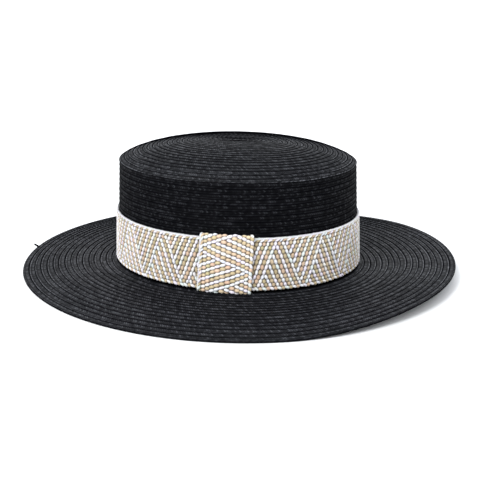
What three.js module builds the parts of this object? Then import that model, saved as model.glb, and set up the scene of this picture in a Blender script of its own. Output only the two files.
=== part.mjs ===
// A straw boater hat: crown, brim, woven band and the tab that wraps the band.
// Millimetres, +Z up. The hat stands on its brim, the long axis of the head oval along X.
import * as THREE from 'three';

// Head oval: every ring is an ellipse whose half width is OVAL_DIFFERENCE less than its half length.
const OVAL_DIFFERENCE = 15.5;
const RING_SEGMENTS = 72;
const STRAW_THICKNESS = 1.8;
const GAP = 0.3;

// Crown, measured on its outer face along the long axis
const CROWN_FOOT_HEIGHT = 6.3;
const CROWN_FOOT_RADIUS = 99.6;
const WALL_TOP_HEIGHT = 87.4;
const WALL_TOP_RADIUS = 95.8;
const TIP_RISE = 15.8;
const TIP_FULLNESS = 2.6;
const TIP_SOFTNESS = 0.78;
const TIP_STEPS = 9;

// Brim: its under face by distance from the edge. The outer strip is flat and rests on the table,
// the middle arches a little, and the inner strip turns up towards the crown.
const BRIM_RADIUS = 177.5;
const BRIM_UNDER_FACE = [
  { inset: 0.5, height: 0 },
  { inset: 4, height: 0 },
  { inset: 12, height: 1.2 },
  { inset: 22, height: 2.3 },
  { inset: 36, height: 3.3 },
  { inset: 50, height: 2.8 },
  { inset: 67, height: 2.5 },
  { inset: 77.5, height: 3.4 },
  { inset: 79.7, height: 4 },
];
const EDGE_ROUNDING = 0.5;

// The brim's edge is lifted on one side
const LIFT_HEIGHT = 9;
const LIFT_DIRECTION = THREE.MathUtils.degToRad(5);
const LIFT_START = 0.3;
const LIFT_FADE = 1.9;

// Band and tab: one ribbon, as wide as the band is high
const BAND_BOTTOM = 7;
const RIBBON_WIDTH = 40.5;
const RIBBON_THICKNESS = 1.95;
const RIBBON_ROUNDING = 0.5;
const TAB_FOLD_THICKNESS = 1.05;
const TAB_DIRECTION = THREE.MathUtils.degToRad(276.3);
const TAB_LEAN = THREE.MathUtils.degToRad(3);
const TAB_OVERHANG = 1.2;
const TAB_STEPS = 8;

const straw = new THREE.MeshStandardMaterial({ color: '#232225', roughness: 0.62, metalness: 0 });
const ribbon = new THREE.MeshStandardMaterial({ color: '#dccfb4', roughness: 0.85, metalness: 0 });

// Half length of the crown's outer wall at a height
function wallRadius(height) {
  const share = (height - CROWN_FOOT_HEIGHT) / (WALL_TOP_HEIGHT - CROWN_FOOT_HEIGHT);
  return THREE.MathUtils.lerp(CROWN_FOOT_RADIUS, WALL_TOP_RADIUS, share);
}

// A point of the ring with this half length. Inside the crown's wall the rings keep one proportion.
function ovalPoint(radius, angle) {
  const difference = OVAL_DIFFERENCE * Math.min(1, radius / WALL_TOP_RADIUS);
  return [radius * Math.cos(angle), (radius - difference) * Math.sin(angle)];
}

// How far the brim is lifted: most at its edge in the lift direction, nothing on the far side
function brimLift(radius, angle) {
  const facing = THREE.MathUtils.smoothstep(Math.cos(angle - LIFT_DIRECTION), LIFT_START, 1);
  const outward = (radius - CROWN_FOOT_RADIUS) / (BRIM_RADIUS - CROWN_FOOT_RADIUS);
  return LIFT_HEIGHT * facing * Math.max(0, outward) ** LIFT_FADE;
}

// Turns a profile of (half length, height) points into an oval ring or shell
function ovalShell(profile, lift = () => 0) {
  const geometry = new THREE.LatheGeometry(profile, RING_SEGMENTS);
  geometry.rotateX(Math.PI / 2);
  const position = geometry.attributes.position;
  for (let i = 0; i < position.count; i += 1) {
    const radius = Math.hypot(position.getX(i), position.getY(i));
    const angle = Math.atan2(position.getY(i), position.getX(i));
    const [x, y] = ovalPoint(radius, angle);
    position.setXYZ(i, x, y, position.getZ(i) + lift(radius, angle));
  }
  geometry.computeVertexNormals();
  return geometry;
}

// The crown's outer face from its foot to the middle of the tip
function crownOutline() {
  const points = [new THREE.Vector2(CROWN_FOOT_RADIUS, CROWN_FOOT_HEIGHT)];
  points.push(new THREE.Vector2(wallRadius(BAND_BOTTOM + RIBBON_WIDTH), BAND_BOTTOM + RIBBON_WIDTH));
  for (let step = 0; step <= TIP_STEPS; step += 1) {
    const rise = Math.sin((step / TIP_STEPS) * (Math.PI / 2));
    const reach = (1 - rise ** (1 / TIP_SOFTNESS)) ** (1 / TIP_FULLNESS);
    points.push(new THREE.Vector2(WALL_TOP_RADIUS * reach, WALL_TOP_HEIGHT + TIP_RISE * rise));
  }
  return points;
}

// The same outline moved inwards by the straw's thickness
function innerOutline(outline) {
  const last = outline.length - 1;
  return outline.map((point, i) => {
    const along = outline[Math.min(i + 1, last)].clone().sub(outline[Math.max(i - 1, 0)]);
    if (i === 0) return new THREE.Vector2(point.x - STRAW_THICKNESS, point.y);
    if (i === last) return new THREE.Vector2(0, point.y - STRAW_THICKNESS);
    const inward = new THREE.Vector2(-along.y, along.x).normalize();
    return point.clone().addScaledVector(inward, STRAW_THICKNESS);
  });
}

function crownGeometry() {
  const outer = crownOutline();
  const inner = innerOutline(outer).reverse();
  return ovalShell([...inner, ...outer]);
}

function brimGeometry() {
  const under = BRIM_UNDER_FACE.map(({ inset, height }) => new THREE.Vector2(BRIM_RADIUS - inset, height));
  const over = under.map(({ x, y }) => new THREE.Vector2(x, y + STRAW_THICKNESS));
  const edge = [
    new THREE.Vector2(BRIM_RADIUS, EDGE_ROUNDING),
    new THREE.Vector2(BRIM_RADIUS, STRAW_THICKNESS - EDGE_ROUNDING),
  ];
  const profile = [...under.reverse(), ...edge, ...over];
  return ovalShell([...profile, profile[0].clone()], brimLift);
}

// A ring of ribbon against the wall, its edges slightly rounded
function bandGeometry() {
  const top = BAND_BOTTOM + RIBBON_WIDTH;
  const section = [
    [GAP, BAND_BOTTOM],
    [GAP + RIBBON_THICKNESS - RIBBON_ROUNDING, BAND_BOTTOM],
    [GAP + RIBBON_THICKNESS, BAND_BOTTOM + RIBBON_ROUNDING],
    [GAP + RIBBON_THICKNESS, top - RIBBON_ROUNDING],
    [GAP + RIBBON_THICKNESS - RIBBON_ROUNDING, top],
    [GAP, top],
    [GAP, BAND_BOTTOM],
  ];
  return ovalShell(section.map(([off, height]) => new THREE.Vector2(wallRadius(height) + off, height)));
}

// The tab's section, (distance from the wall, height): a front sheet with a fold over each band edge
function tabSection() {
  const top = BAND_BOTTOM + RIBBON_WIDTH + TAB_OVERHANG;
  const bottom = BAND_BOTTOM - GAP;
  const inside = 2 * GAP + RIBBON_THICKNESS;
  const front = inside + RIBBON_THICKNESS;
  const corners = [
    [GAP, bottom - TAB_FOLD_THICKNESS],
    [front - TAB_FOLD_THICKNESS, bottom - TAB_FOLD_THICKNESS],
    [front, bottom],
    [front, top],
    [front - TAB_FOLD_THICKNESS, top + TAB_FOLD_THICKNESS],
    [GAP, top + TAB_FOLD_THICKNESS],
    [GAP, top],
    [inside, top],
    [inside, bottom],
    [GAP, bottom],
  ];
  return new THREE.Shape(corners.map(([off, height]) => new THREE.Vector2(off, height)));
}

// The section carried along the wall for the ribbon's width
function tabGeometry() {
  const sweep = RIBBON_WIDTH / wallRadius(BAND_BOTTOM);
  const geometry = new THREE.ExtrudeGeometry(tabSection(), {
    depth: sweep,
    steps: TAB_STEPS,
    bevelEnabled: false,
  });
  const position = geometry.attributes.position;
  for (let i = 0; i < position.count; i += 1) {
    const height = position.getY(i);
    const lean = (height - BAND_BOTTOM - RIBBON_WIDTH / 2) * Math.tan(TAB_LEAN);
    const angle = TAB_DIRECTION + sweep / 2 - position.getZ(i) + lean / CROWN_FOOT_RADIUS;
    const [x, y] = ovalPoint(wallRadius(height) + position.getX(i), angle);
    position.setXYZ(i, x, y, height);
  }
  geometry.computeVertexNormals();
  return geometry;
}

function piece(name, geometry, material) {
  const mesh = new THREE.Mesh(geometry, material);
  mesh.name = name;
  return mesh;
}

const hat = new THREE.Group();
hat.add(piece('crown', crownGeometry(), straw));
hat.add(piece('brim', brimGeometry(), straw));
hat.add(piece('hat_band', bandGeometry(), ribbon));
hat.add(piece('band_tab', tabGeometry(), ribbon));

export default hat;
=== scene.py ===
"""A black straw boater hat: sewn rings of plaited straw, a zigzag-woven ribbon band and its wrapped tab.

Sizes in the classes are in millimetres, as a hatter would take them; meshes are written in metres.
"""

import logging
import math
from dataclasses import astuple, dataclass, field, fields, replace
from enum import Enum
from typing import Callable, Optional, Sequence, Union

import bpy
import numpy as np
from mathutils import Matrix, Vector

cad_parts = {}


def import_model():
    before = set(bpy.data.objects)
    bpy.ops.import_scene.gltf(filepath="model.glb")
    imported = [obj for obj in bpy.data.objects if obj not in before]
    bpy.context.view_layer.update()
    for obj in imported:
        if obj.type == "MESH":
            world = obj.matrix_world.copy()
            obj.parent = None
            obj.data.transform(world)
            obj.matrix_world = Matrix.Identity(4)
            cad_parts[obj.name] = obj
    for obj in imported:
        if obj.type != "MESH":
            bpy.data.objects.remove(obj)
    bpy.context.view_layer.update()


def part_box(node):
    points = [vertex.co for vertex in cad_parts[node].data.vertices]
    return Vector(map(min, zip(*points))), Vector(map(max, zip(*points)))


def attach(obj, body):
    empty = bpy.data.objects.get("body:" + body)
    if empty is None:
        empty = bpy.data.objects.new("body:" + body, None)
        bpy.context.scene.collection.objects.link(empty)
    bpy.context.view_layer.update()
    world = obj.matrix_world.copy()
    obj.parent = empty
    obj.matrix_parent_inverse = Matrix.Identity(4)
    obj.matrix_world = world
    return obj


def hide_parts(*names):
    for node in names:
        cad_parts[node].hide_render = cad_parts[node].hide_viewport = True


Array = np.ndarray
Piece = bpy.types.Object
Material = bpy.types.Material
Socket = bpy.types.NodeSocket
Triple = tuple[float, float, float]
Place = Callable[[Array, Array, Array], Array]

LOG = logging.getLogger("boater")
METRES = 0.001
TURN = 2.0 * math.pi
BODY = "root"


class Slot(Enum):
    """The record's material slots."""

    STRAW = "straw"
    RIBBON = "ribbon"


class Yarn(Enum):
    """The two yarns of the ribbon."""

    WHITE = "white"
    TAN = "tan"


# Shader tools


class Wire:
    """A number flowing through a node tree: Python operators on it add Math nodes."""

    def __init__(self, board: "Board", socket: Socket) -> None:
        """Remembers the board that the number flows in and the socket that it comes out of."""
        self.board = board
        self.socket = socket

    def math(self, operation: str, *others: "Number") -> "Wire":
        """The result of one Math node, fed with this wire and the others."""
        node = self.board.node("ShaderNodeMath", {"operation": operation}, dict(enumerate([self, *others])))
        return Wire(self.board, node.outputs[0])

    def __add__(self, other: "Number") -> "Wire":
        """Sum."""
        return self.math("ADD", other)

    __radd__ = __add__

    def __mul__(self, other: "Number") -> "Wire":
        """Product."""
        return self.math("MULTIPLY", other)

    __rmul__ = __mul__

    def __sub__(self, other: "Number") -> "Wire":
        """Difference."""
        return self.math("SUBTRACT", other)

    def __rsub__(self, other: "Number") -> "Wire":
        """A value minus this wire."""
        return (self * -1.0) + other

    def __truediv__(self, other: "Number") -> "Wire":
        """Quotient."""
        return self.math("DIVIDE", other)

    def __pow__(self, other: "Number") -> "Wire":
        """Power."""
        return self.math("POWER", other)

    def __abs__(self) -> "Wire":
        """Distance from nought."""
        return self.math("ABSOLUTE")

    def wave(self) -> "Wire":
        """The cosine of this wire taken as turns, from -1 to 1."""
        return (self * TURN).math("COSINE")

    def whole(self) -> "Wire":
        """The whole part."""
        return self.math("FLOOR")

    def part(self) -> "Wire":
        """The part after the point."""
        return self.math("FRACT")

    def within(self) -> "Wire":
        """The wire held between 0 and 1."""
        return self.math("MAXIMUM", 0.0).math("MINIMUM", 1.0)

    def hump(self, centre: float, width: float) -> "Wire":
        """A rounded hump, 1 at its centre and 0 beyond its half width."""
        off = abs(self - centre) / width
        return (1.0 - off * off).math("MAXIMUM", 0.0)


Number = Union[float, Wire]


class Board:
    """The node tree of one material, with one method that adds any node."""

    def __init__(self, name: str, shelf: Optional[bpy.types.bpy_prop_collection] = None) -> None:
        """Makes an empty node tree.

        Args:
            name: the material's name.
            shelf: where to make it, if it isn't a material, such as the worlds.
        """
        self.material = (bpy.data.materials if shelf is None else shelf).new(name)
        self.material.use_nodes = True
        self.tree = self.material.node_tree
        self.tree.nodes.clear()

    def node(self, kind: str, settings: Optional[dict], inputs: Optional[dict] = None) -> bpy.types.Node:
        """Adds a node.

        Args:
            kind: the node's type.
            settings: its own settings, set first.
            inputs: values, wires or sockets for its inputs, by name or index.

        Returns:
            The node.
        """
        node = self.tree.nodes.new(kind)
        for key, value in (settings or {}).items():
            setattr(node, key, value)
        for key, value in (inputs or {}).items():
            if isinstance(value, Wire):
                self.tree.links.new(value.socket, node.inputs[key])
            elif isinstance(value, Socket):
                self.tree.links.new(value, node.inputs[key])
            else:
                node.inputs[key].default_value = value
        return node

    def map_axes(self, layer: str) -> tuple[Wire, Wire]:
        """The two numbers of a UV map.

        Args:
            layer: the UV map's name.

        Returns:
            The map's first and second number.
        """
        places = self.node("ShaderNodeUVMap", {"uv_map": layer}).outputs[0]
        axes = self.node("ShaderNodeSeparateXYZ", None, {0: places})
        return Wire(self, axes.outputs[0]), Wire(self, axes.outputs[1])

    def place(self, x: Number, y: Number, z: Number = 0.0) -> Socket:
        """A vector of three numbers."""
        return self.node("ShaderNodeCombineXYZ", None, {0: x, 1: y, 2: z}).outputs[0]

    def noise(self, where: Socket, scale: float, detail: float = 2.0) -> Wire:
        """A noise between 0 and 1 at a place."""
        inputs = {"Vector": where, "Scale": scale, "Detail": detail}
        return Wire(self, self.node("ShaderNodeTexNoise", None, inputs).outputs[0])

    def chance(self, where: Socket) -> Wire:
        """A random number from 0 to 1 for each whole place."""
        noise = self.node("ShaderNodeTexWhiteNoise", {"noise_dimensions": "2D"}, {"Vector": where})
        return Wire(self, noise.outputs[0])

    def ramp(self, factor: Wire, stops: Sequence[tuple[float, Triple]]) -> Socket:
        """A colour that follows a number.

        Args:
            factor: the number, from 0 to 1.
            stops: places and linear colours, in order.

        Returns:
            The colour socket.
        """
        node = self.node("ShaderNodeValToRGB", None, {0: factor})
        marks = node.color_ramp.elements
        while len(marks) < len(stops):
            marks.new(0.5)
        for mark, (place, colour) in zip(marks, stops):
            mark.position = place
            mark.color = (*colour, 1.0)
        return node.outputs[0]

    def shade(self, colour: Socket, factor: Number) -> Socket:
        """A colour multiplied by a number."""
        node = self.node("ShaderNodeVectorMath", {"operation": "SCALE"}, {0: colour, "Scale": factor})
        return node.outputs[0]

    def finish(self, surface: dict, height: Wire, depth: float) -> Material:
        """Closes the tree with a Principled shader over a bump.

        Args:
            surface: the shader's inputs.
            height: the relief, in parts of depth.
            depth: the relief's height in metres.

        Returns:
            The finished material.
        """
        bump = self.node("ShaderNodeBump", None, {"Strength": 1.0, "Distance": depth, "Height": height})
        shader = self.node("ShaderNodeBsdfPrincipled", None, {**surface, "Normal": bump.outputs[0]})
        self.node("ShaderNodeOutputMaterial", None, {"Surface": shader.outputs[0]})
        return self.material


# Mesh tools


def write_mesh(name: str, points: Array, corners: Array, starts: Array, maps: dict[str, Array]) -> Piece:
    """Writes a smooth-shaded mesh into a new object at the origin.

    Args:
        name: the piece's name.
        points: the vertices, in millimetres.
        corners: the vertex numbers of every face, one after another.
        starts: where each face's corners start.
        maps: the UV maps by name, with a place for every corner.

    Returns:
        The object.
    """
    mesh = bpy.data.meshes.new(name)
    mesh.vertices.add(len(points))
    mesh.vertices.foreach_set("co", (points * METRES).astype(np.float32).ravel())
    mesh.loops.add(corners.size)
    mesh.loops.foreach_set("vertex_index", corners.astype(np.int32).ravel())
    mesh.polygons.add(len(starts))
    mesh.polygons.foreach_set("loop_start", starts.astype(np.int32))
    mesh.polygons.foreach_set("use_smooth", np.ones(len(starts), bool))
    for label, places in maps.items():
        layer = mesh.uv_layers.new(name=label)
        layer.data.foreach_set("uv", places.astype(np.float32).ravel())
    mesh.update(calc_edges=True)
    mesh.validate()
    piece = bpy.data.objects.new(name, mesh)
    bpy.context.scene.collection.objects.link(piece)
    return piece


@dataclass
class Quilt:
    """A grid of points, closed across its columns, that becomes a mesh of four-sided faces.

    A tube closes down its rows too, a pole closes its first ring, and caps close its first and last.
    """

    points: Array
    uv: Array
    flip: bool = False
    pole: bool = False
    caps: bool = False
    tube: bool = False

    def faces(self) -> tuple[Array, Array]:
        """The four corners of every face as vertex numbers and as (row, column) places of the UV grid.

        Returns:
            Vertex numbers, faces by 4, and the places, faces by 4 by 2.
        """
        rows, cols = self.points.shape[:2]
        i, j = np.meshgrid(np.arange(rows if self.tube else rows - 1), np.arange(cols), indexing="ij")
        i, j = i.ravel(), j.ravel()
        places = np.stack([np.stack(p, -1) for p in ((i, j), (i, j + 1), (i + 1, j + 1), (i + 1, j))], 1)
        if self.flip:
            places = places[:, ::-1]
        return places[..., 0] % rows * cols + places[..., 1] % cols, places

    def fans(self) -> tuple[Array, Array]:
        """The triangles that close the end rings, each ring round a vertex at its middle.

        Returns:
            The middles, which follow the grid's own vertices, and the triangles' vertex numbers.
        """
        rows, cols = self.points.shape[:2]
        first, last = np.arange(cols), np.arange(cols) + (rows - 1) * cols
        rings = []
        if self.pole or self.caps:
            rings.append((0, np.roll(first, -1), first))
        if self.caps:
            rings.append((-1, last, np.roll(last, -1)))
        middles, fans = np.zeros((0, 3)), np.zeros((0, 3), int)
        for row, a, b in rings:
            middle = np.full(cols, rows * cols + len(middles))
            middles = np.concatenate([middles, self.points[row].mean(0)[None]])
            fans = np.concatenate([fans, np.stack([middle, a, b] if self.flip else [middle, b, a], 1)])
        return middles, fans

    def build(self, name: str, layer: str) -> Piece:
        """Writes the grid into a new object.

        Args:
            name: the piece's name.
            layer: the name of its UV map.

        Returns:
            The object.
        """
        corners, places = self.faces()
        middles, fans = self.fans()
        points = np.concatenate([self.points.reshape(-1, 3), middles])
        starts = chain(np.arange(0, corners.size, 4), corners.size + np.arange(0, fans.size, 3))
        uv = self.uv[places[..., 0], places[..., 1]].reshape(-1, 2)
        uv = np.concatenate([uv, np.zeros((fans.size, 2))])
        return write_mesh(name, points, chain(corners.ravel(), fans.ravel()), starts, {layer: uv})


def chain(*parts: Union[float, Sequence[float], Array]) -> Array:
    """Arrays and single numbers, put end to end."""
    return np.concatenate([np.atleast_1d(part) for part in parts])


def smoothstep(value: Array, low: float, high: float) -> Array:
    """0 below low, 1 above high, and 3t^2 - 2t^3 between them."""
    t = np.clip((value - low) / (high - low), 0.0, 1.0)
    return t * t * (3.0 - 2.0 * t)


def grid_normals(points: Array, flip: bool) -> Array:
    """Unit normals of a grid that closes across its columns: the cross product of its two differences.

    Args:
        points: rows by columns by 3.
        flip: whether to turn them round.

    Returns:
        The normals, shaped as the points.
    """
    down = np.gradient(points, axis=0)
    side = np.roll(points, -1, 1) - np.roll(points, 1, 1)
    normal = np.cross(down, side)
    normal /= np.maximum(np.linalg.norm(normal, axis=2, keepdims=True), 1e-12)
    return -normal if flip else normal


def dress(piece: Piece, material: Material, slot: Slot) -> None:
    """Gives a piece its material, lets it ride on the hat, and logs it.

    Args:
        piece: the piece.
        material: its finish.
        slot: the record's material slot; not used.
    """
    piece.data.materials.append(material)
    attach(piece, BODY)
    triangles = sum(len(p.vertices) - 2 for p in piece.data.polygons)
    LOG.info("%s: %d triangles", piece.name, triangles)


# Finishes


@dataclass(frozen=True)
class BraidFinish:
    """Black plaited straw: strands that cross, a looped outer edge, and flecks that catch the glaze, with
    painted highlights on the edges and flecks and painted shade in the grooves.
    """

    name: str = "black_straw"
    # The colour ramp runs from dark, the painted shade of the grooves, through middle, the straw's own
    # black, to light, the painted highlight of ridges and flecks.
    dark: Triple = (0.0008, 0.0009, 0.0013)
    middle: Triple = (0.0165, 0.0172, 0.0200)
    light: Triple = (0.125, 0.130, 0.145)
    roughness: float = 0.75
    glaze: float = 0.34
    ridge: float = 1.0
    # How strongly painted shade darkens the grooves between rows and the line across each row's middle.
    seam: float = 1.0
    middle_seam: float = 0.45
    fleck: float = 0.34
    depth: float = 0.0007

    def make(self) -> Material:
        """The straw's material. Its map counts plait cells along a row and rows across.

        Returns:
            The material.
        """
        board = Board(self.name)
        along, across = board.map_axes("plait")
        row, t = across.whole(), across.part()
        cell = along + board.chance(board.place(row, 3.0)) * 7.0
        lean = abs(t - 0.38) * 1.6
        strand = (cell + lean) * 2.0
        strands = ((strand.wave() * 0.5 + 0.5) ** 0.7) * t.hump(0.34, 0.46)
        loops = ((cell + 0.5).wave() * 0.5 + 0.5) ** 0.7
        ridge = t.hump(0.87, 0.12) * self.ridge
        # Painted shade: a dark line across each row's middle, and the groove mask that darkens the colour
        # and cuts the coat in the grooves between rows.
        waist_shade = 1.0 - t.hump(0.60, 0.09) * self.middle_seam
        groove = (t * 6.5 - 0.15).within() * ((1.0 - t) * 12.0 - 0.2).within()
        groove = groove * self.seam + (1.0 - self.seam)
        # Flecks: random tone per strand cell, brightened as painted glints.
        fleck = board.chance(board.place((strand + 0.5).whole(), row * 2.0 + (t * 1.7).whole()))
        fibres = board.noise(board.place(along, across * 20.0), 1.7, 3.0)
        patches = board.noise(board.place(along * 0.05, across * 0.35), 1.0, 2.0)
        height = strands * 0.8 + ridge * loops * 1.0 + fibres * 0.25
        # The ridge and loop terms paint the highlight where each row's outer edge catches the light.
        lit = fleck * self.fleck + fibres * 0.24 + ridge * (loops * 0.30 + 0.26) + strands * 0.30
        shine = ((lit + (patches - 0.5) * 0.15 - 0.08) * groove * waist_shade).within()
        colour = board.ramp(shine, [(0.0, self.dark), (0.45, self.middle), (1.0, self.light)])
        surface = {
            "Base Color": colour,
            "Roughness": self.roughness + (fleck - 0.5) * 0.1,
            "Specular IOR Level": 0.0,
            "Coat Weight": groove * (shine * 0.85 + 0.15) * self.glaze,
            "Coat Roughness": 0.42,
        }
        return board.finish(surface, height, self.depth)


TIP_AND_BRIM_STRAW = BraidFinish()
# A darker copy of the same straw for the crown's upright wall: painted shade, as the wall takes less of the
# light from above than the tip and brim.
SHADED_WALL_STRAW = BraidFinish(
    "black_straw_wall",
    dark=(0.0006, 0.0007, 0.0011),
    middle=(0.0034, 0.0037, 0.0050),
    light=(0.046, 0.048, 0.056),
    glaze=0.22,
    ridge=0.3,
    seam=0.8,
    middle_seam=0.85,
    fleck=0.40,
)


@dataclass(frozen=True)
class YarnFinish:
    """A soft spun yarn, whose tint changes from float to float, with painted shade that darkens each float
    to its sides.
    """

    name: str
    tints: tuple[tuple[float, Triple], ...]
    # How dark the painted shade gets at the sides of each float.
    ends: float
    # A brightness factor for lit copies of a yarn: painted light.
    gain: float = 1.0

    def make(self) -> Material:
        """The yarn's material. One map runs across and along a float, and one holds its tint and height.

        Returns:
            The material.
        """
        board = Board(self.name)
        across, along = board.map_axes("yarn")
        tint, lift = board.map_axes("tint")
        ply = (across * 2.6 + along * 1.3 + tint).wave() * 0.5 + 0.5
        fuzz = board.noise(board.place(across * 6.0, along * 2.0, tint * 9.0), 2.2, 3.0)
        # Painted shade: each float darkens from its top down to its sides, where it meets the ground.
        shadow = self.ends + (1.0 - self.ends) * lift
        spun = 0.88 + ply * 0.07 + fuzz * 0.12
        colour = board.shade(board.ramp(tint, self.tints), shadow * spun * self.gain)
        surface = {
            "Base Color": colour,
            "Roughness": 0.80 + fuzz * 0.12,
            "Sheen Weight": 0.25,
            "Sheen Roughness": 0.5,
        }
        return board.finish(surface, ply * 0.6 + fuzz * 0.4, 0.00018)


@dataclass(frozen=True)
class ClothFinish:
    """The ribbon's ground, seen in the small gaps between the floats: its own brown, made darker as painted
    shade in the gaps.
    """

    name: str = "ribbon_ground"
    # This dark brown is the ground's own colour darkened as painted shade between the floats.
    colour: Triple = (0.085, 0.062, 0.040)
    selvedge: Triple = (0.80, 0.79, 0.78)
    selvedge_width: float = 0.95

    def make(self) -> Material:
        """A plain weave of brown yarn on a map in millimetres, white along its first edge.

        Returns:
            The material.
        """
        board = Board(self.name)
        along, up = board.map_axes("weave")
        warp = ((along * 1.6).wave() * (up * 1.6).wave()) * 0.5 + 0.5
        fuzz = board.noise(board.place(along, up), 1.2, 3.0)
        pale = tuple(1.9 * c for c in self.colour)
        edge = ((self.selvedge_width - up) * 6.0).within()
        weave = (warp * 0.5 + fuzz * 0.5).within() * 0.5
        stops = [(0.0, self.colour), (0.5, pale), (1.0, self.selvedge)]
        colour = board.ramp(weave * (1.0 - edge) + edge, stops)
        surface = {"Base Color": colour, "Roughness": 0.85 + fuzz * 0.1}
        return board.finish(surface, warp * 0.7 + fuzz * 0.3, 0.0002)


WHITE_YARN = YarnFinish(
    "white_yarn",
    (
        (0.0, (0.74, 0.76, 0.84)),
        (0.3, (0.86, 0.86, 0.86)),
        (0.55, (0.80, 0.74, 0.86)),
        (0.75, (0.88, 0.86, 0.82)),
        (1.0, (0.72, 0.80, 0.78)),
    ),
    ends=0.24,
)
TAN_YARN = YarnFinish(
    "tan_yarn",
    (
        (0.0, (0.46, 0.37, 0.21)),
        (0.3, (0.58, 0.46, 0.30)),
        (0.55, (0.64, 0.45, 0.32)),
        (0.8, (0.48, 0.42, 0.23)),
        (1.0, (0.62, 0.42, 0.30)),
    ),
    ends=0.20,
)
# Lighter copies of the yarns for the raised tab: painted light, with brighter colour and less painted shade
# at the float sides.
LIT_TAB_WHITE_YARN = replace(WHITE_YARN, name="white_yarn_tab", ends=0.36, gain=1.04)
LIT_TAB_TAN_YARN = replace(TAN_YARN, name="tan_yarn_tab", ends=0.34, gain=1.20)


# The hat's own geometry


@dataclass(frozen=True)
class HeadOval:
    """The oval that every ring of the hat follows, and the crown's smooth outer face."""

    difference: float
    foot_radius: float
    foot_height: float
    top_height: float
    wall_top_radius: float = 95.8
    wall_top_height: float = 87.4
    tip_fullness: float = 2.6
    tip_softness: float = 0.78
    heart: float = 14.0

    @classmethod
    def measured(cls) -> "HeadOval":
        """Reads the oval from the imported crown.

        Returns:
            The hat's oval.
        """
        low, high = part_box("crown")
        sizes = [v / METRES for v in (high.x - high.y, high.x, low.z, high.z)]
        return cls(*sizes)

    def half_width(self, radius: Array) -> Array:
        """A ring's half width: its half length less one amount, which fades at the crown's centre."""
        return radius - self.difference * (1.0 - np.exp(-((radius / self.heart) ** 2)))

    def wall_radius(self, height: Array) -> Array:
        """The wall's half length at a height: a straight line from its foot to its top."""
        share = (height - self.foot_height) / (self.wall_top_height - self.foot_height)
        return self.foot_radius + share * (self.wall_top_radius - self.foot_radius)

    def tip_height(self, nearness: Array) -> Array:
        """The tip's height, a superellipse of the distance from its centre, where 1 is the wall."""
        rise = (1.0 - np.clip(nearness, 0.0, 1.0) ** self.tip_fullness) ** self.tip_softness
        return self.wall_top_height + (self.top_height - self.wall_top_height) * rise

    def outline(self, inset: float = 0.0) -> tuple[Array, Array, Array]:
        """The crown's outline from its centre to its foot, along the long axis.

        Args:
            inset: how far inside the outer face.

        Returns:
            The distance run, the half length and the height at many steps.
        """
        angle = np.linspace(math.pi / 2, 0.0, 900)
        rise = np.sin(angle)
        reach = (1.0 - np.clip(rise, 0, 1) ** (1.0 / self.tip_softness)) ** (1.0 / self.tip_fullness)
        wall = np.linspace(self.wall_top_height, self.foot_height, 200)[1:]
        radius = chain(self.wall_top_radius * reach, self.wall_radius(wall))
        height = chain(self.wall_top_height + (self.top_height - self.wall_top_height) * rise, wall)
        if inset:
            slope = np.stack([np.gradient(radius), np.gradient(height)])
            slope /= np.maximum(np.hypot(*slope), 1e-9)
            radius, height = radius + slope[1] * inset, height - slope[0] * inset
            radius = np.maximum(radius, 0.0)
        run = chain(0.0, np.cumsum(np.hypot(np.diff(radius), np.diff(height))))
        return run, radius, height


@dataclass(frozen=True)
class Braid:
    """The relief of sewn rows of plait: each row's outer edge lies on the next row."""

    step: float = 1.3
    middle: float = 0.55
    wobble: float = 0.22
    cell: float = 3.5
    seed: int = 3

    KEYS: tuple[float, ...] = (0.0, 0.08, 0.30, 0.58, 0.80, 0.89, 0.96, 1.0)
    LIFTS: tuple[float, ...] = (0.05, 0.45, 0.74, 0.62, 0.84, 1.0, 0.70, 0.05)

    def section(self, t: Array) -> Array:
        """The relief across a row: a soft curve through the keyed heights.

        Args:
            t: places across a row, from 0 on its inner edge to 1.

        Returns:
            The relief, 0 in the groove and 1 on the outer edge.
        """
        fine = np.linspace(0.0, 1.0, 401)
        straight = np.interp(fine, self.KEYS, self.LIFTS)
        kernel = np.hanning(27)
        padded = chain(straight[-14:-1], straight, straight[1:14])
        soft = np.convolve(padded, kernel / kernel.sum(), mode="same")[13:-13]
        return np.interp(t, fine, soft)

    def relief(self, row: Array, turns: Array, cells: Array) -> Array:
        """The height of the rows over the smooth shell.

        Args:
            row: the row number with its fraction, down the grid.
            turns: how far round the hat each point is, from 0 to 1.
            cells: the plait cells counted along each row.

        Returns:
            The height in millimetres, centred on the shell.
        """
        t = row - np.floor(row)
        phase = np.random.default_rng(self.seed).random(400)[np.floor(row).astype(int) % 400]
        loops = 0.5 + 0.5 * np.cos(TURN * (cells + phase[:, None]))
        edge = np.clip(1.0 - ((t - 0.88) / 0.13) ** 2, 0.0, 1.0)[:, None]
        body = np.clip(1.0 - ((t - 0.36) / 0.34) ** 2, 0.0, 1.0)[:, None]
        slow = 0.035 * np.sin(TURN * (5 * turns + 0.37 * row[:, None]))
        quick = 0.03 * np.sin(TURN * (11 * turns - 0.61 * row[:, None]))
        plait = 0.20 * edge * loops + 0.14 * body * (1.0 - loops)
        return self.step * (self.section(t)[:, None] - self.middle - plait + (slow + quick))

    def drift(self, row: Array, turns: Array) -> Array:
        """How far a row strays along the shell, a sum of slow waves round the hat."""
        waves = [(3, 0.31, 1.0), (7, -0.53, 0.6), (13, 0.83, 0.4)]
        return self.wobble * sum(a * np.sin(TURN * (n * turns + k * row[:, None])) for n, k, a in waves)


ROW_STEPS = (0.0, 0.09, 0.29, 0.55, 0.78, 0.89, 0.96)


def row_positions(first: int, last: int, steps: Sequence[float] = ROW_STEPS) -> Array:
    """Row numbers with fractions for the rows from first up to last, ending on last."""
    return np.append((np.arange(first, last)[:, None] + np.asarray(steps)).ravel(), float(last))


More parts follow.
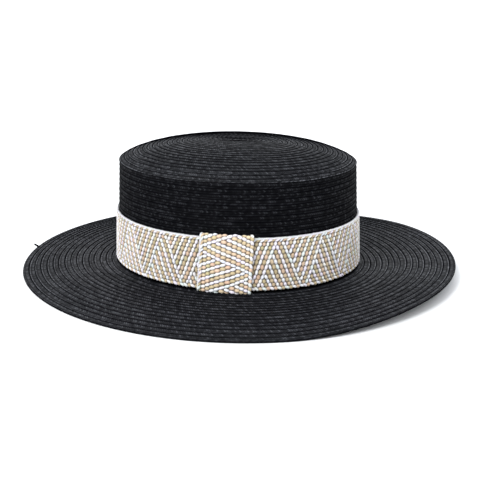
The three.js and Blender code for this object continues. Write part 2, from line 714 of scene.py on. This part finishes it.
def arc_turns(points: Array) -> tuple[Array, Array]:
    """How far round each ring every point lies by length, and each ring's length.

    Args:
        points: rows by columns by 3, closed across the columns.

    Returns:
        Shares of the ring from 0 to 1 with one more column than the points, and the lengths.
    """
    closed = np.concatenate([points, points[:, :1]], 1)
    steps = np.linalg.norm(np.diff(closed, axis=1), axis=2)
    run = np.concatenate([np.zeros((len(points), 1)), np.cumsum(steps, 1)], 1)
    length = run[:, -1]
    return run / np.maximum(length[:, None], 1e-9), length


def cell_counts(length: Array, rows: Array, cell: float) -> Array:
    """The plait cells in each grid row, one whole number for all the grid rows of a row of plait.

    Args:
        length: each grid row's length.
        rows: each grid row's row number, with its fraction.
        cell: the length of a plait cell.

    Returns:
        The counts.
    """
    row = np.floor(rows).astype(int)
    row -= row.min()
    mean = np.bincount(row, length) / np.maximum(np.bincount(row), 1)
    return np.maximum(np.round(mean / cell), 3.0)[row]


@dataclass
class Straw:
    """Everything plaited: the crown and the brim, as sewn rows over the smooth shells."""

    oval: HeadOval
    material: Material
    wall_material: Material
    crown_braid: Braid = field(default_factory=lambda: Braid(seed=5))
    brim_braid: Braid = field(default_factory=lambda: Braid(seed=9))
    thickness: float = 1.8
    first_row: float = 0.12
    tip_rows: int = 24
    covered_row: int = 34
    crown_rows: int = 44
    tip_columns: int = 576
    wall_columns: int = 768
    inside_columns: int = 320
    tuck: float = 1.2
    middle_relief: float = 0.45
    wall_relief: float = 0.38
    covered_relief: float = 0.25
    relief_rows: tuple[float, float] = (5.0, 17.0)
    inside_relief: float = 0.45
    brim_rows: int = 16
    brim_row_width: float = 4.8
    brim_columns: int = 1000
    under_relief: float = 0.32
    lift_height: float = 9.0
    lift_direction: float = math.radians(5.0)
    lift_start: float = 0.3
    lift_fade: float = 1.9
    end_direction: float = math.radians(183.6)
    end_height: float = 1.3
    end_tucked: float = 2.0
    end_length: float = 4.2
    end_rise: float = 2.6
    end_sway: float = 1.6
    end_radius: float = 0.95

    UNDER: tuple[tuple[float, float], ...] = (
        (0.0, 0.0), (4.0, 0.0), (12.0, 1.2), (22.0, 2.3), (36.0, 3.3),
        (50.0, 2.8), (67.0, 2.5), (77.5, 3.4), (79.7, 4.0),
    )

    def sew(self, name: str, base: Array, rows: Array, braid: Braid, keep: Array, flip: bool = True,
            pole: bool = False, dip: Optional[Array] = None, material: Optional[Material] = None) -> Piece:
        """Raises the rows of plait on a smooth grid along its normals, and makes the piece.

        Args:
            name: the piece's name.
            base: the smooth shell, rows by columns by 3.
            rows: the row number of each grid row.
            braid: the relief.
            keep: how much of the relief each grid row keeps.
            flip: whether the grid's faces have to be turned round to point out.
            pole: whether the first ring closes on a point.
            dip: how far each grid row is raised besides, straight up.
            material: the finish, if it isn't that of the tip and brim.

        Returns:
            The piece.
        """
        turns, length = arc_turns(base)
        cells = turns * cell_counts(length, rows, braid.cell)[:, None]
        height = braid.relief(rows, turns[:, :-1], cells[:, :-1]) * keep[:, None]
        points = base + grid_normals(base, flip) * height[..., None]
        if dip is not None:
            points[..., 2] += dip[:, None]
        uv = np.stack([cells, np.broadcast_to(rows[:, None], cells.shape)], -1)
        piece = Quilt(points, uv, flip=flip, pole=pole).build(name, "plait")
        dress(piece, material or self.material, Slot.STRAW)
        return piece

    def crown_base(self, rows: Array, columns: int, inset: float = 0.0) -> Array:
        """The crown's smooth face at the given rows.

        The half length and height follow the outline by distance; on the tip a ring keeps its own oval, and
        its height is read from the dome over the point it has reached.

        Args:
            rows: row numbers with fractions, from the centre of the tip.
            columns: points round a ring.
            inset: how far inside the outer face.

        Returns:
            The grid of points.
        """
        run, radius, height = self.oval.outline(inset)
        angle = np.linspace(0.0, TURN, columns, endpoint=False)
        turns = angle / TURN
        along = rows[:, None] * run[-1] / self.crown_rows
        fixed = np.clip(rows, 0.0, 1.0) * np.clip(self.crown_rows - rows, 0.0, 1.0)
        along = along + self.crown_braid.drift(rows, turns[None]) * fixed[:, None]
        r = np.interp(along, run, radius)
        x, y = r * np.cos(angle), self.oval.half_width(r) * np.sin(angle)
        z = np.interp(along, run, height)
        top = self.oval.wall_top_radius - inset
        nearness = np.hypot(x / top, y / self.oval.half_width(np.array(top)))
        dome = self.oval.tip_height(nearness) - inset
        inner = smoothstep(top - r, 2.0, 12.0)
        return np.stack([x, y, z + (dome - z) * inner], -1)

    def crown(self) -> list[Piece]:
        """Builds the tip, the wall and the inside.

        Returns:
            The pieces.
        """
        rows = chain(self.first_row, row_positions(0, self.tip_rows)[2:])
        keep = self.middle_relief + (1.0 - self.middle_relief) * smoothstep(rows, *self.relief_rows)
        base = self.crown_base(rows, self.tip_columns)
        tip = self.sew("crown_tip", base, rows, self.crown_braid, keep, pole=True)

        shown = row_positions(self.tip_rows, self.covered_row)
        hidden = row_positions(self.covered_row, self.crown_rows, (0.0, 0.5))[1:]
        tucked = self.crown_base(np.array([self.tip_rows - 0.2]), self.wall_columns, self.tuck)
        base = self.crown_base(chain(shown, hidden), self.wall_columns)
        hem = self.crown_base(np.array([float(self.crown_rows)]), self.wall_columns, self.thickness)
        rows = chain(self.tip_rows - 0.001, shown, hidden, self.crown_rows + 0.001)
        keep = np.where(rows >= self.covered_row, self.covered_relief, self.wall_relief)
        keep = keep * (rows >= self.tip_rows) * (rows <= self.crown_rows - 0.01)
        base = np.concatenate([tucked, base, hem])
        wall = self.sew("crown_wall", base, rows, self.crown_braid, keep, material=self.wall_material)

        rows = chain(self.first_row, row_positions(0, self.crown_rows, (0.0, 0.35, 0.8))[1:])
        keep = self.inside_relief * np.clip(self.crown_rows - rows, 0.0, 1.0)
        base = self.crown_base(rows, self.inside_columns, self.thickness)
        inside = self.sew("crown_inside", base, rows, self.crown_braid, keep, flip=False, pole=True)
        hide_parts("crown")
        return [tip, wall, inside]

    def under_height(self, inset: Array) -> Array:
        """The brim's under face: the listed heights, with their corners eased.

        Args:
            inset: distances from the brim's edge.

        Returns:
            The heights.
        """
        fine = np.linspace(0.0, 90.0, 1801)
        known = np.array(self.UNDER)
        straight = np.interp(fine, known[:, 0], known[:, 1])
        kernel = np.hanning(81)
        soft = np.convolve(np.pad(straight, 40, mode="edge"), kernel / kernel.sum(), mode="valid")
        return np.interp(inset, fine, soft)

    def lift(self, radius: Array, angle: Array) -> Array:
        """How far the brim is raised: most at its edge in the lift direction, nothing on the far side.

        Args:
            radius: the ring's half length at each point.
            angle: the angle round the hat.

        Returns:
            The rise.
        """
        facing = smoothstep(np.cos(angle - self.lift_direction), self.lift_start, 1.0)
        outward = (radius - self.oval.foot_radius) / (self.edge - self.oval.foot_radius)
        return self.lift_height * facing * np.maximum(outward, 0.0) ** self.lift_fade

    @property
    def edge(self) -> float:
        """The brim's half length, as packed."""
        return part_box("brim")[1].x / METRES

    def brim_base(self, inset: Array, height: Array, rows: Array, columns: int) -> Array:
        """A smooth ring of the brim.

        Args:
            inset: each grid row's distance from the edge.
            height: each grid row's height over the brim's under face.
            rows: the row numbers, which set how the rows stray.
            columns: points round a ring.

        Returns:
            The grid of points.
        """
        angle = np.linspace(0.0, TURN, columns, endpoint=False)
        free = np.clip(inset / 5.0, 0.0, 1.0)[:, None]
        inset = inset[:, None] + self.brim_braid.drift(rows, angle[None] / TURN) * free
        r = self.edge - inset
        z = self.under_height(inset) + height[:, None] + self.lift(r, angle[None])
        return np.stack([r * np.cos(angle), (r - self.oval.difference) * np.sin(angle), z], -1)

    def brim(self) -> list[Piece]:
        """Builds the brim's outer and inner rings, each with its under face.

        Returns:
            The pieces.
        """
        half = self.brim_rows // 2
        bend = 0.5 * self.thickness
        curve = np.linspace(0.0, math.pi, 7)[1:-1]

        # The outer ring: over face outwards, round the edge, and back along the under face
        over = row_positions(half, self.brim_rows)
        over = over[over <= self.brim_rows - 0.05]
        under = row_positions(half, self.brim_rows, (0.0, 0.3, 0.7))[::-1]
        under = under[under <= self.brim_rows - 0.3]
        over_inset = np.maximum(self.brim_inset(over), bend * 1.05)
        inset = chain(over_inset, bend - bend * np.sin(curve), self.brim_inset(under))
        height = chain(0.0 * over + self.thickness, bend + bend * np.cos(curve), 0.0 * under)
        rows = chain(over, 0.0 * curve + (self.brim_rows - 0.04), under)
        keep = chain(0.0 * over + 1.0, np.linspace(0.8, 0.0, len(curve)), 0.0 * under)
        outer = self.sew_brim("brim_outer", inset, height, rows, keep)

        # The inner ring: under face and over face of the inner rows, whose first edge is the head opening
        over = row_positions(0, half)
        under = row_positions(0, half, (0.0, 0.5))[::-1]
        rows = chain(under, over)
        inset = self.brim_inset(rows)
        inset = np.where(inset > self.brim_rows * self.brim_row_width - 0.01, self.UNDER[-1][0], inset)
        height = chain(0.0 * under, 0.0 * over + self.thickness)
        keep = chain(0.0 * under, np.where(over > 0.2, 1.0, 0.0))
        inner = self.sew_brim("brim_inner", inset, height, rows, keep)
        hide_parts("brim")
        return [outer, inner]

    def brim_inset(self, rows: Array) -> Array:
        """How far each row lies from the brim's edge."""
        return (self.brim_rows - rows) * self.brim_row_width

    def sew_brim(self, name: str, inset: Array, height: Array, rows: Array, keep: Array) -> Piece:
        """Sews a ring of the brim, with shallow grooves in its under face: (1 - sin)^2 across each row.

        Args:
            name: the piece's name.
            inset: each grid row's distance from the edge.
            height: its height over the under face.
            rows: its row number.
            keep: 1 on the over face, 0 on the under face, and between them round the edge.

        Returns:
            The piece.
        """
        base = self.brim_base(inset, height, rows, self.brim_columns)
        groove = self.under_relief * (1.0 - np.sin(math.pi * (rows - np.floor(rows)))) ** 2
        dip = groove * ((keep == 0.0) & (height < 0.01))
        return self.sew(name, base, rows, self.brim_braid, keep, dip=dip)

    def end(self) -> Piece:
        """The loose straw end that sticks out of the brim's edge: a thin flat strand along a hooked path.

        Returns:
            The piece.
        """
        angle, steps, sides = self.end_direction, 16, 10
        out = np.array([math.cos(angle), math.sin(angle), 0.0])
        rim = out * (self.edge, self.edge - self.oval.difference, 0.0) + (0.0, 0.0, self.end_height)
        side = np.array([-out[1], out[0], 0.0])
        up = np.array([0.0, 0.0, 1.0])
        t = np.linspace(0.0, 1.0, steps)
        reach = self.end_length * t - self.end_tucked
        rise = 0.2 + self.end_rise * t ** 2
        sway = -self.end_sway * np.sin(math.pi * t * 0.9)
        path = rim + reach[:, None] * out + rise[:, None] * up + sway[:, None] * side
        ring = np.linspace(0.0, TURN, sides, endpoint=False)
        size = self.end_radius * (1.0 - 0.3 * t ** 2)
        across = np.cos(ring)[None, :, None] * side + np.sin(ring)[None, :, None] * (up - 0.4 * out)
        points = path[:, None] + size[:, None, None] * across
        cells, shade = np.linspace(0.0, 2.0, steps), np.linspace(0.01, 0.03, sides + 1)
        uv = np.stack(np.meshgrid(cells, shade, indexing="ij"), -1)
        piece = Quilt(points, uv, caps=True).build("straw_end", "plait")
        dress(piece, self.material, Slot.STRAW)
        return piece


# The woven ribbon


@dataclass(frozen=True)
class Chart:
    """The weaver's chart: a brick lattice of floats in two yarns, which draw chevrons that widen down."""

    column: float = 2.9225
    repeat: int = 13
    throat: int = 2
    rows: range = range(-1, 11)
    first: float = 1.9
    last: float = 39.0
    bulge: float = 1.0

    def depth(self, row: Array) -> Array:
        """How far a row lies from the first edge: even steps, less a sine that widens the middle rows."""
        share = (row - self.rows[0]) / (self.rows[-1] - self.rows[0])
        return self.first + (self.last - self.first) * share - self.bulge * np.sin(TURN * share)

    def step(self, row: Array) -> Array:
        """The distance between the rows beside a row."""
        return 0.5 * (self.depth(row + 1.0) - self.depth(row - 1.0))

    def line(self, place: Array, row: Array) -> Array:
        """The number of the slanting line a float is on: columns plus half its row, within one chevron."""
        return np.round(place + row / 2.0).astype(int) % self.repeat

    def falls(self, place: Array, row: Array) -> Array:
        """Whether a float is inside a chevron, where the lines run the other way."""
        line = self.line(place, row)
        return (line > 0) & (line - row <= self.throat)

    def is_white(self, place: Array, row: Array) -> Array:
        """Which floats are white: a chevron's back, and every other line inside it and after it."""
        line = self.line(place, row)
        return (line == 0) | np.where(self.falls(place, row), (line - row) % 2 == 0, line % 2 == 1)


@dataclass(frozen=True)
class Floats:
    """A batch of floats: each one's centre along and across the ribbon, its size, lean, and tint."""

    along: Array
    across: Array
    length: Array
    width: Array
    lean: Array
    rise: Array
    tint: Array

    @staticmethod
    def join(*batches: "Floats") -> "Floats":
        """Several batches as one."""
        return Floats(*(np.concatenate([getattr(b, f.name) for b in batches]) for f in fields(Floats)))

    def pick(self, chosen: Array) -> "Floats":
        """The floats that are chosen."""
        return Floats(*(getattr(self, f.name)[chosen] for f in fields(self)))


@dataclass(frozen=True)
class Cut:
    """How a yarn's floats lie: lean in radians, length in row steps, and the rest in millimetres.

    The last row's floats, on the second edge, have a length and a width of their own.
    """

    lean: float
    length: float
    width: float
    rise: float
    foot_length: float
    foot_width: float


WHITE_CUT = Cut(lean=0.34, length=1.21, width=2.6, rise=1.26, foot_length=4.3, foot_width=2.5)
TAN_CUT = Cut(lean=0.22, length=1.14, width=3.1, rise=1.06, foot_length=3.4, foot_width=3.1)


@dataclass
class Weaver:
    """Lays floats on a ribbon and its ground cloth, wherever the ribbon runs."""

    chart: Chart
    yarns: dict[Yarn, Material]
    ground: Material
    seed: int = 11
    head_length: float = 4.6
    head_width: float = 1.9
    cord_depth: float = 0.66
    cord_length: float = 3.3
    cord_width: float = 1.15
    cord_lean: float = -1.15
    float_steps: int = 7
    float_sides: int = 6

    def jitter(self, count: int, size: float, salt: int) -> Array:
        """Small seeded differences between floats."""
        return np.random.default_rng(self.seed + salt).uniform(-size, size, count)

    def body(self, start: float, end: float, phase: float) -> tuple[Floats, Array]:
        """The floats of every row. The first row's floats slant one way and the last row's the other.

        Args:
            start: where the ribbon's length starts.
            end: where it ends.
            phase: the length at which a chevron's back crosses row 0.

        Returns:
            The floats, and whether each one is white.
        """
        chart = self.chart
        first, last = math.ceil((start - phase) / chart.column), math.floor((end - phase) / chart.column)
        column, row = np.meshgrid(np.arange(first, last + 1), np.array(chart.rows), indexing="ij")
        column, row = column.ravel(), row.ravel()
        place = column + 0.5 * (row % 2)
        inside = phase + place * chart.column < end
        place, row = place[inside], row[inside]
        white, falls = chart.is_white(place, row), chart.falls(place, row)
        count = len(place)
        top, foot = row == chart.rows[0], row == chart.rows[-1]
        cut = Cut(*(np.where(white, a, b) for a, b in zip(astuple(WHITE_CUT), astuple(TAN_CUT))))
        lean = np.where(falls, 1.0, -1.0) * cut.lean + self.jitter(count, 0.10, 1)
        lean = np.where(top, -0.95 + lean * 0.5, np.where(foot, 1.05 + lean * 0.3, lean))
        length = np.where(foot, cut.foot_length, chart.step(row) * cut.length)
        width = np.where(foot, cut.foot_width, cut.width)
        floats = Floats(
            phase + place * chart.column + self.jitter(count, 0.13, 2),
            chart.depth(row) + self.jitter(count, 0.14, 3),
            np.where(top, self.head_length, length) * (1.0 + self.jitter(count, 0.06, 4)),
            np.where(top, self.head_width, width) * (1.0 + self.jitter(count, 0.08, 5)),
            lean,
            cut.rise + self.jitter(count, 0.07, 6),
            0.5 + self.jitter(count, 0.5, 7),
        )
        return floats, white

    def cord(self, start: float, end: float) -> Floats:
        """The twisted white cord along the first edge, a row of long floats that overlap.

        Args:
            start: where the ribbon's length starts.
            end: where it ends.

        Returns:
            The cord's floats.
        """
        along = np.arange(start, end, 0.5 * self.chart.column)
        count = len(along)
        return Floats(
            along + self.jitter(count, 0.1, 40),
            self.cord_depth + self.jitter(count, 0.06, 41),
            self.cord_length * (1.0 + self.jitter(count, 0.08, 42)),
            np.full(count, self.cord_width),
            self.cord_lean + self.jitter(count, 0.08, 44),
            np.full(count, 1.0),
            0.5 + self.jitter(count, 0.5, 45),
        )

    def ribbon(self, start: float, end: float, phase: float) -> dict[Yarn, Floats]:
        """All the floats of a length of ribbon.

        Args:
            start: where it starts.
            end: where it ends.
            phase: the length at which a chevron's back crosses row 0.

        Returns:
            The floats of each yarn.
        """
        body, white = self.body(start, end, phase)
        edge = self.cord(start, end)
        return {Yarn.WHITE: Floats.join(body.pick(white), edge), Yarn.TAN: body.pick(~white)}

    def lay(self, floats: Floats, place: Place, name: str, yarn: Yarn, flip: bool) -> Piece:
        """Makes the floats: each is the upper part of a spindle, whose section narrows to its ends.

        Args:
            floats: where and how big they are.
            place: turns distances along, across and off the ribbon into points.
            name: the piece's name.
            yarn: which yarn they are of.
            flip: whether the ribbon's frame turns the faces round.

        Returns:
            The piece.
        """
        steps, sides = self.float_steps, self.float_sides
        swing = np.radians(np.linspace(-82.0, 82.0, steps))[:, None]
        roll = np.radians(np.linspace(-104.0, 104.0, sides))[None]
        girth = np.cos(swing) ** 0.75
        x, y, z = 0.5 * girth * np.sin(roll), 0.5 * np.sin(swing) * np.ones_like(roll), girth * np.cos(roll)
        shape = (len(floats.along), steps, sides)
        centre, depth, length, width, lean, rise, tint = (
            getattr(floats, f.name)[:, None, None] for f in fields(floats)
        )
        px, py, cos, sin = x * width, y * length, np.cos(lean), np.sin(lean)
        points = place(centre + px * cos + py * sin, depth - px * sin + py * cos, z * rise).reshape(-1, 3)
        corner = np.arange(steps * sides).reshape(steps, sides)
        quad = [corner[:-1, :-1], corner[:-1, 1:], corner[1:, 1:], corner[1:, :-1]]
        quad = np.stack(quad[::-1] if flip else quad, -1).reshape(-1, 4)
        corners = (quad[None] + np.arange(shape[0])[:, None, None] * corner.size).ravel()
        maps = {
            "yarn": np.stack([np.broadcast_to(part, shape) for part in (2.0 * x, 2.0 * y)], -1),
            "tint": np.stack([np.broadcast_to(part, shape) for part in (tint, np.maximum(z, 0.0))], -1),
        }
        maps = {layer: values.reshape(-1, 2)[corners] for layer, values in maps.items()}
        piece = write_mesh(name, points, corners, np.arange(0, corners.size, 4), maps)
        dress(piece, self.yarns[yarn], Slot.RIBBON)
        return piece


@dataclass
class Band:
    """The ribbon round the crown."""

    oval: HeadOval
    weaver: Weaver
    gap: float = 0.3
    cloth: float = 0.65
    pile: float = 1.3
    margin: float = 0.35
    seam: float = 3.0
    front: float = math.radians(276.3)
    chevron: float = 38.4

    @property
    def bottom(self) -> float:
        """The height of the ribbon's lower edge, as packed."""
        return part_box("hat_band")[0].z / METRES

    @property
    def width(self) -> float:
        """The ribbon's width, as packed."""
        low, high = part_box("hat_band")
        return (high.z - low.z) / METRES

    def ring(self) -> tuple[Array, Array]:
        """The ribbon's run round the hat.

        Returns:
            Lengths along the ribbon from the front, and the angles round the hat that they reach.
        """
        angle = self.front + np.linspace(0.0, TURN, 2881)
        r = self.oval.wall_radius(self.bottom + 0.5 * self.width) + self.gap + self.cloth + self.pile
        x, y = r * np.cos(angle), (r - self.oval.difference) * np.sin(angle)
        return chain(0.0, np.cumsum(np.hypot(np.diff(x), np.diff(y)))), angle

    @property
    def length(self) -> float:
        """The ribbon's length once round."""
        return float(self.ring()[0][-1])

    def place(self, along: Array, across: Array, off: Array) -> Array:
        """Points of the ribbon.

        Args:
            along: length from the front, to the right.
            across: distance down from the upper edge.
            off: distance out from the ground cloth's outer face.

        Returns:
            The points.
        """
        run, angle = self.ring()
        turn = np.interp(np.mod(along, run[-1]), run, angle)
        height = self.bottom + self.width - across
        r = self.oval.wall_radius(height) + self.gap + self.cloth + off
        return np.stack([r * np.cos(turn), (r - self.oval.difference) * np.sin(turn), height], -1)

    def build(self) -> list[Piece]:
        """Builds the ground cloth and the floats.

        Returns:
            The pieces.
        """
        length, width = self.length, self.width
        low, high = self.margin, width - self.margin
        down = chain(np.linspace(low, high, 15), np.linspace(high, low, 5))
        off = chain(np.zeros(15), np.full(5, -self.cloth))
        reach = np.linspace(0.0, length, 361)
        points = self.place(*np.broadcast_arrays(reach[None, :-1], down[:, None], off[:, None]))
        uv = np.stack(np.broadcast_arrays(reach[None], np.append(down, down[0])[:, None]), -1)
        cloth = Quilt(points, uv, flip=True, tube=True).build("band_cloth", "weave")
        dress(cloth, self.weaver.ground, Slot.RIBBON)
        floats = self.weaver.ribbon(self.seam, length - self.seam, self.chevron)
        lay = self.weaver.lay
        pieces = [lay(floats[yarn], self.place, f"band_{yarn.value}_floats", yarn, False) for yarn in Yarn]
        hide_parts("hat_band")
        flat = (width * METRES, length * METRES)
        return [cloth, *pieces]


@dataclass
class Tab:
    """The piece of the same ribbon wrapped over the band, turned so that its rows run up and down."""

    band: Band
    weaver: Weaver
    width: float = 40.5
    margin: float = 0.3
    end: float = 0.6
    lean: float = math.radians(3.0)
    over: float = 1.2
    gap: float = 0.3
    cloth: float = 0.65
    corner: float = 1.1
    chevron: float = 7.5
    tilt: float = 0.015
    shift: float = 0.8

    def path(self) -> tuple[Array, Array, Array]:
        """The wrap from its side: over the band's upper edge, down the front, and behind the lower edge.

        Returns:
            The distance run, and the cloth's outer face there: its distance off the wall and its height.
        """
        band = self.band
        front = 2.0 * self.gap + band.cloth + band.pile + self.cloth
        top = band.bottom + band.width + self.over + self.cloth
        bottom = band.bottom - self.gap - self.cloth
        quarter = np.linspace(0.0, math.pi / 2, 7)
        c = self.corner
        sine, cosine = c * np.sin(quarter), c * np.cos(quarter)
        tucked = self.gap + 0.2
        off = chain(tucked, front - c + sine, front - c + cosine, tucked)
        height = chain(top, top - c + cosine, bottom + c - sine, bottom)
        run = chain(0.0, np.cumsum(np.hypot(np.diff(off), np.diff(height))))
        return run, off, height

    def place(self, along: Array, across: Array, off: Array) -> Array:
        """Points of the tab.

        Args:
            along: length down the wrap.
            across: distance to the right from its left edge.
            off: distance out from the cloth's outer face.

        Returns:
            The points.
        """
        run, out, height = self.path()
        fine = np.linspace(0.0, run[-1], 800)
        o, h = np.interp(fine, run, out), np.interp(fine, run, height)
        do, dh = np.gradient(o), np.gradient(h)
        size = np.maximum(np.hypot(do, dh), 1e-9)
        n_off, n_height = -dh / size, do / size
        o = np.interp(along, fine, o) + off * np.interp(along, fine, n_off)
        h = np.interp(along, fine, h) + off * np.interp(along, fine, n_height)
        middle = self.band.bottom + 0.5 * self.band.width
        side = across - 0.5 * self.width + self.shift + (h - middle) * math.tan(self.lean)
        h = h - self.tilt * (across - 0.5 * self.width)
        return self.band.place(side, self.band.bottom + self.band.width - h, o - self.gap - self.band.cloth)

    def build(self) -> list[Piece]:
        """Builds the tab's cloth and its floats.

        Returns:
            The pieces.
        """
        run, _, height = self.path()
        length = float(run[-1])
        down = np.linspace(0.0, length, 60)
        low, high = self.margin, self.width - self.margin
        across = chain(np.linspace(low, high, 13), np.linspace(high, low, 13))
        off = chain(np.zeros(13), np.full(13, -0.8 * self.cloth))
        points = self.place(*np.broadcast_arrays(down[:, None], across[None], off[None]))
        uv = np.stack(np.broadcast_arrays(down[:, None], np.append(across, across[0])[None]), -1)
        cloth = Quilt(points, uv, flip=True, caps=True).build("tab_cloth", "weave")
        dress(cloth, self.weaver.ground, Slot.RIBBON)
        phase = float(np.interp(self.chevron - height[0], -height, run))
        floats = self.weaver.ribbon(self.end, length - self.end, phase)
        lay = self.weaver.lay
        pieces = [lay(floats[yarn], self.place, f"tab_{yarn.value}_floats", yarn, True) for yarn in Yarn]
        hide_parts("band_tab")
        flat = (self.width * METRES, length * METRES)
        return [cloth, *pieces]


# The studio


@dataclass(frozen=True)
class Softlight:
    """A far, wide studio light, which reaches the whole table evenly."""

    name: str
    heading: float
    rise: float
    strength: float
    spread: float

    def light(self) -> None:
        """Hangs the light. Its heading round the hat from +X, its rise and its spread are in degrees."""
        lamp = bpy.data.lights.new(self.name, "SUN")
        lamp.energy = self.strength
        lamp.angle = math.radians(self.spread)
        holder = bpy.data.objects.new(self.name, lamp)
        holder.rotation_euler = (0.0, math.radians(90.0 - self.rise), math.radians(self.heading))
        bpy.context.scene.collection.objects.link(holder)


@dataclass(frozen=True)
class Studio:
    """A white table, soft white surroundings, and the camera."""

    sky: float = 1.0
    ceiling: float = 0.8
    ceiling_tint: Triple = (0.93, 0.96, 1.0)
    floor: float = 0.68
    table_reach: float = 20.0
    lens: float = 65.7
    eye: Triple = (0.1646, -0.6711, 0.2466)
    pitch: float = 18.27
    heading: float = 13.58
    lamps: tuple[Softlight, ...] = (
        Softlight("key_left", 240.0, 43.0, 2.45, 20.0),
        Softlight("rim_behind", 105.0, 35.0, 0.6, 40.0),
    )

    def build(self) -> None:
        """Sets the floor, the sky, the lamps and the camera."""
        mesh = bpy.data.meshes.new("table_top")
        r = self.table_reach
        mesh.from_pydata([(-r, -r, 0.0), (r, -r, 0.0), (r, r, 0.0), (-r, r, 0.0)], [], [(0, 1, 2, 3)])
        table = bpy.data.objects.new("table_top", mesh)
        bpy.context.scene.collection.objects.link(table)
        board = Board("table_white")
        grain = board.noise(board.node("ShaderNodeTexCoord", None).outputs["Object"], 40.0)
        colour = board.ramp(grain, [(0.0, (self.floor,) * 3), (1.0, (self.floor * 0.99,) * 3)])
        surface = {"Base Color": colour, "Roughness": 0.95, "Specular IOR Level": 0.1}
        table.data.materials.append(board.finish(surface, grain, 0.00002))
        bpy.context.scene.world = self.surroundings()
        for lamp in self.lamps:
            lamp.light()
        camera = bpy.data.objects.new("camera", bpy.data.cameras.new("camera"))
        camera.data.lens = self.lens
        camera.data.sensor_width = 36.0
        camera.data.clip_start, camera.data.clip_end = 0.01, 100.0
        camera.location = self.eye
        camera.rotation_euler = (math.radians(90.0 - self.pitch), 0.0, math.radians(self.heading))
        bpy.context.scene.collection.objects.link(camera)
        bpy.context.scene.camera = camera
        bpy.context.scene.view_settings.view_transform = "Standard"

    def surroundings(self) -> bpy.types.World:
        """White paper all round and a soft ceiling, a little cooler: brightness follows height.

        Returns:
            The world.
        """
        board = Board("studio", bpy.data.worlds)
        where = board.node("ShaderNodeTexCoord", None).outputs["Generated"]
        height = Wire(board, board.node("ShaderNodeSeparateXYZ", None, {0: where}).outputs[2])
        ceiling = (height * 2.6 - 0.15).within()
        colour = board.ramp(ceiling, [(0.0, (1.0, 1.0, 1.0)), (1.0, self.ceiling_tint)])
        light = board.node("ShaderNodeBackground", None, {0: colour, 1: ceiling * self.ceiling + self.sky})
        board.node("ShaderNodeOutputWorld", None, {0: light.outputs[0]})
        return board.material


def main() -> None:
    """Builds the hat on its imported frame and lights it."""
    logging.basicConfig(level=logging.INFO, format="%(name)s: %(message)s")
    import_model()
    oval = HeadOval.measured()
    straw = Straw(oval, TIP_AND_BRIM_STRAW.make(), SHADED_WALL_STRAW.make())
    straw.crown()
    straw.brim()
    straw.end()
    ground = ClothFinish().make()
    band_yarns = {Yarn.WHITE: WHITE_YARN.make(), Yarn.TAN: TAN_YARN.make()}
    lit_tab_yarns = {Yarn.WHITE: LIT_TAB_WHITE_YARN.make(), Yarn.TAN: LIT_TAB_TAN_YARN.make()}
    band = Band(oval, Weaver(Chart(), band_yarns, ground))
    band.build()
    Tab(band, Weaver(Chart(), lit_tab_yarns, ground)).build()
    Studio().build()


if __name__ == "__main__":
    main()
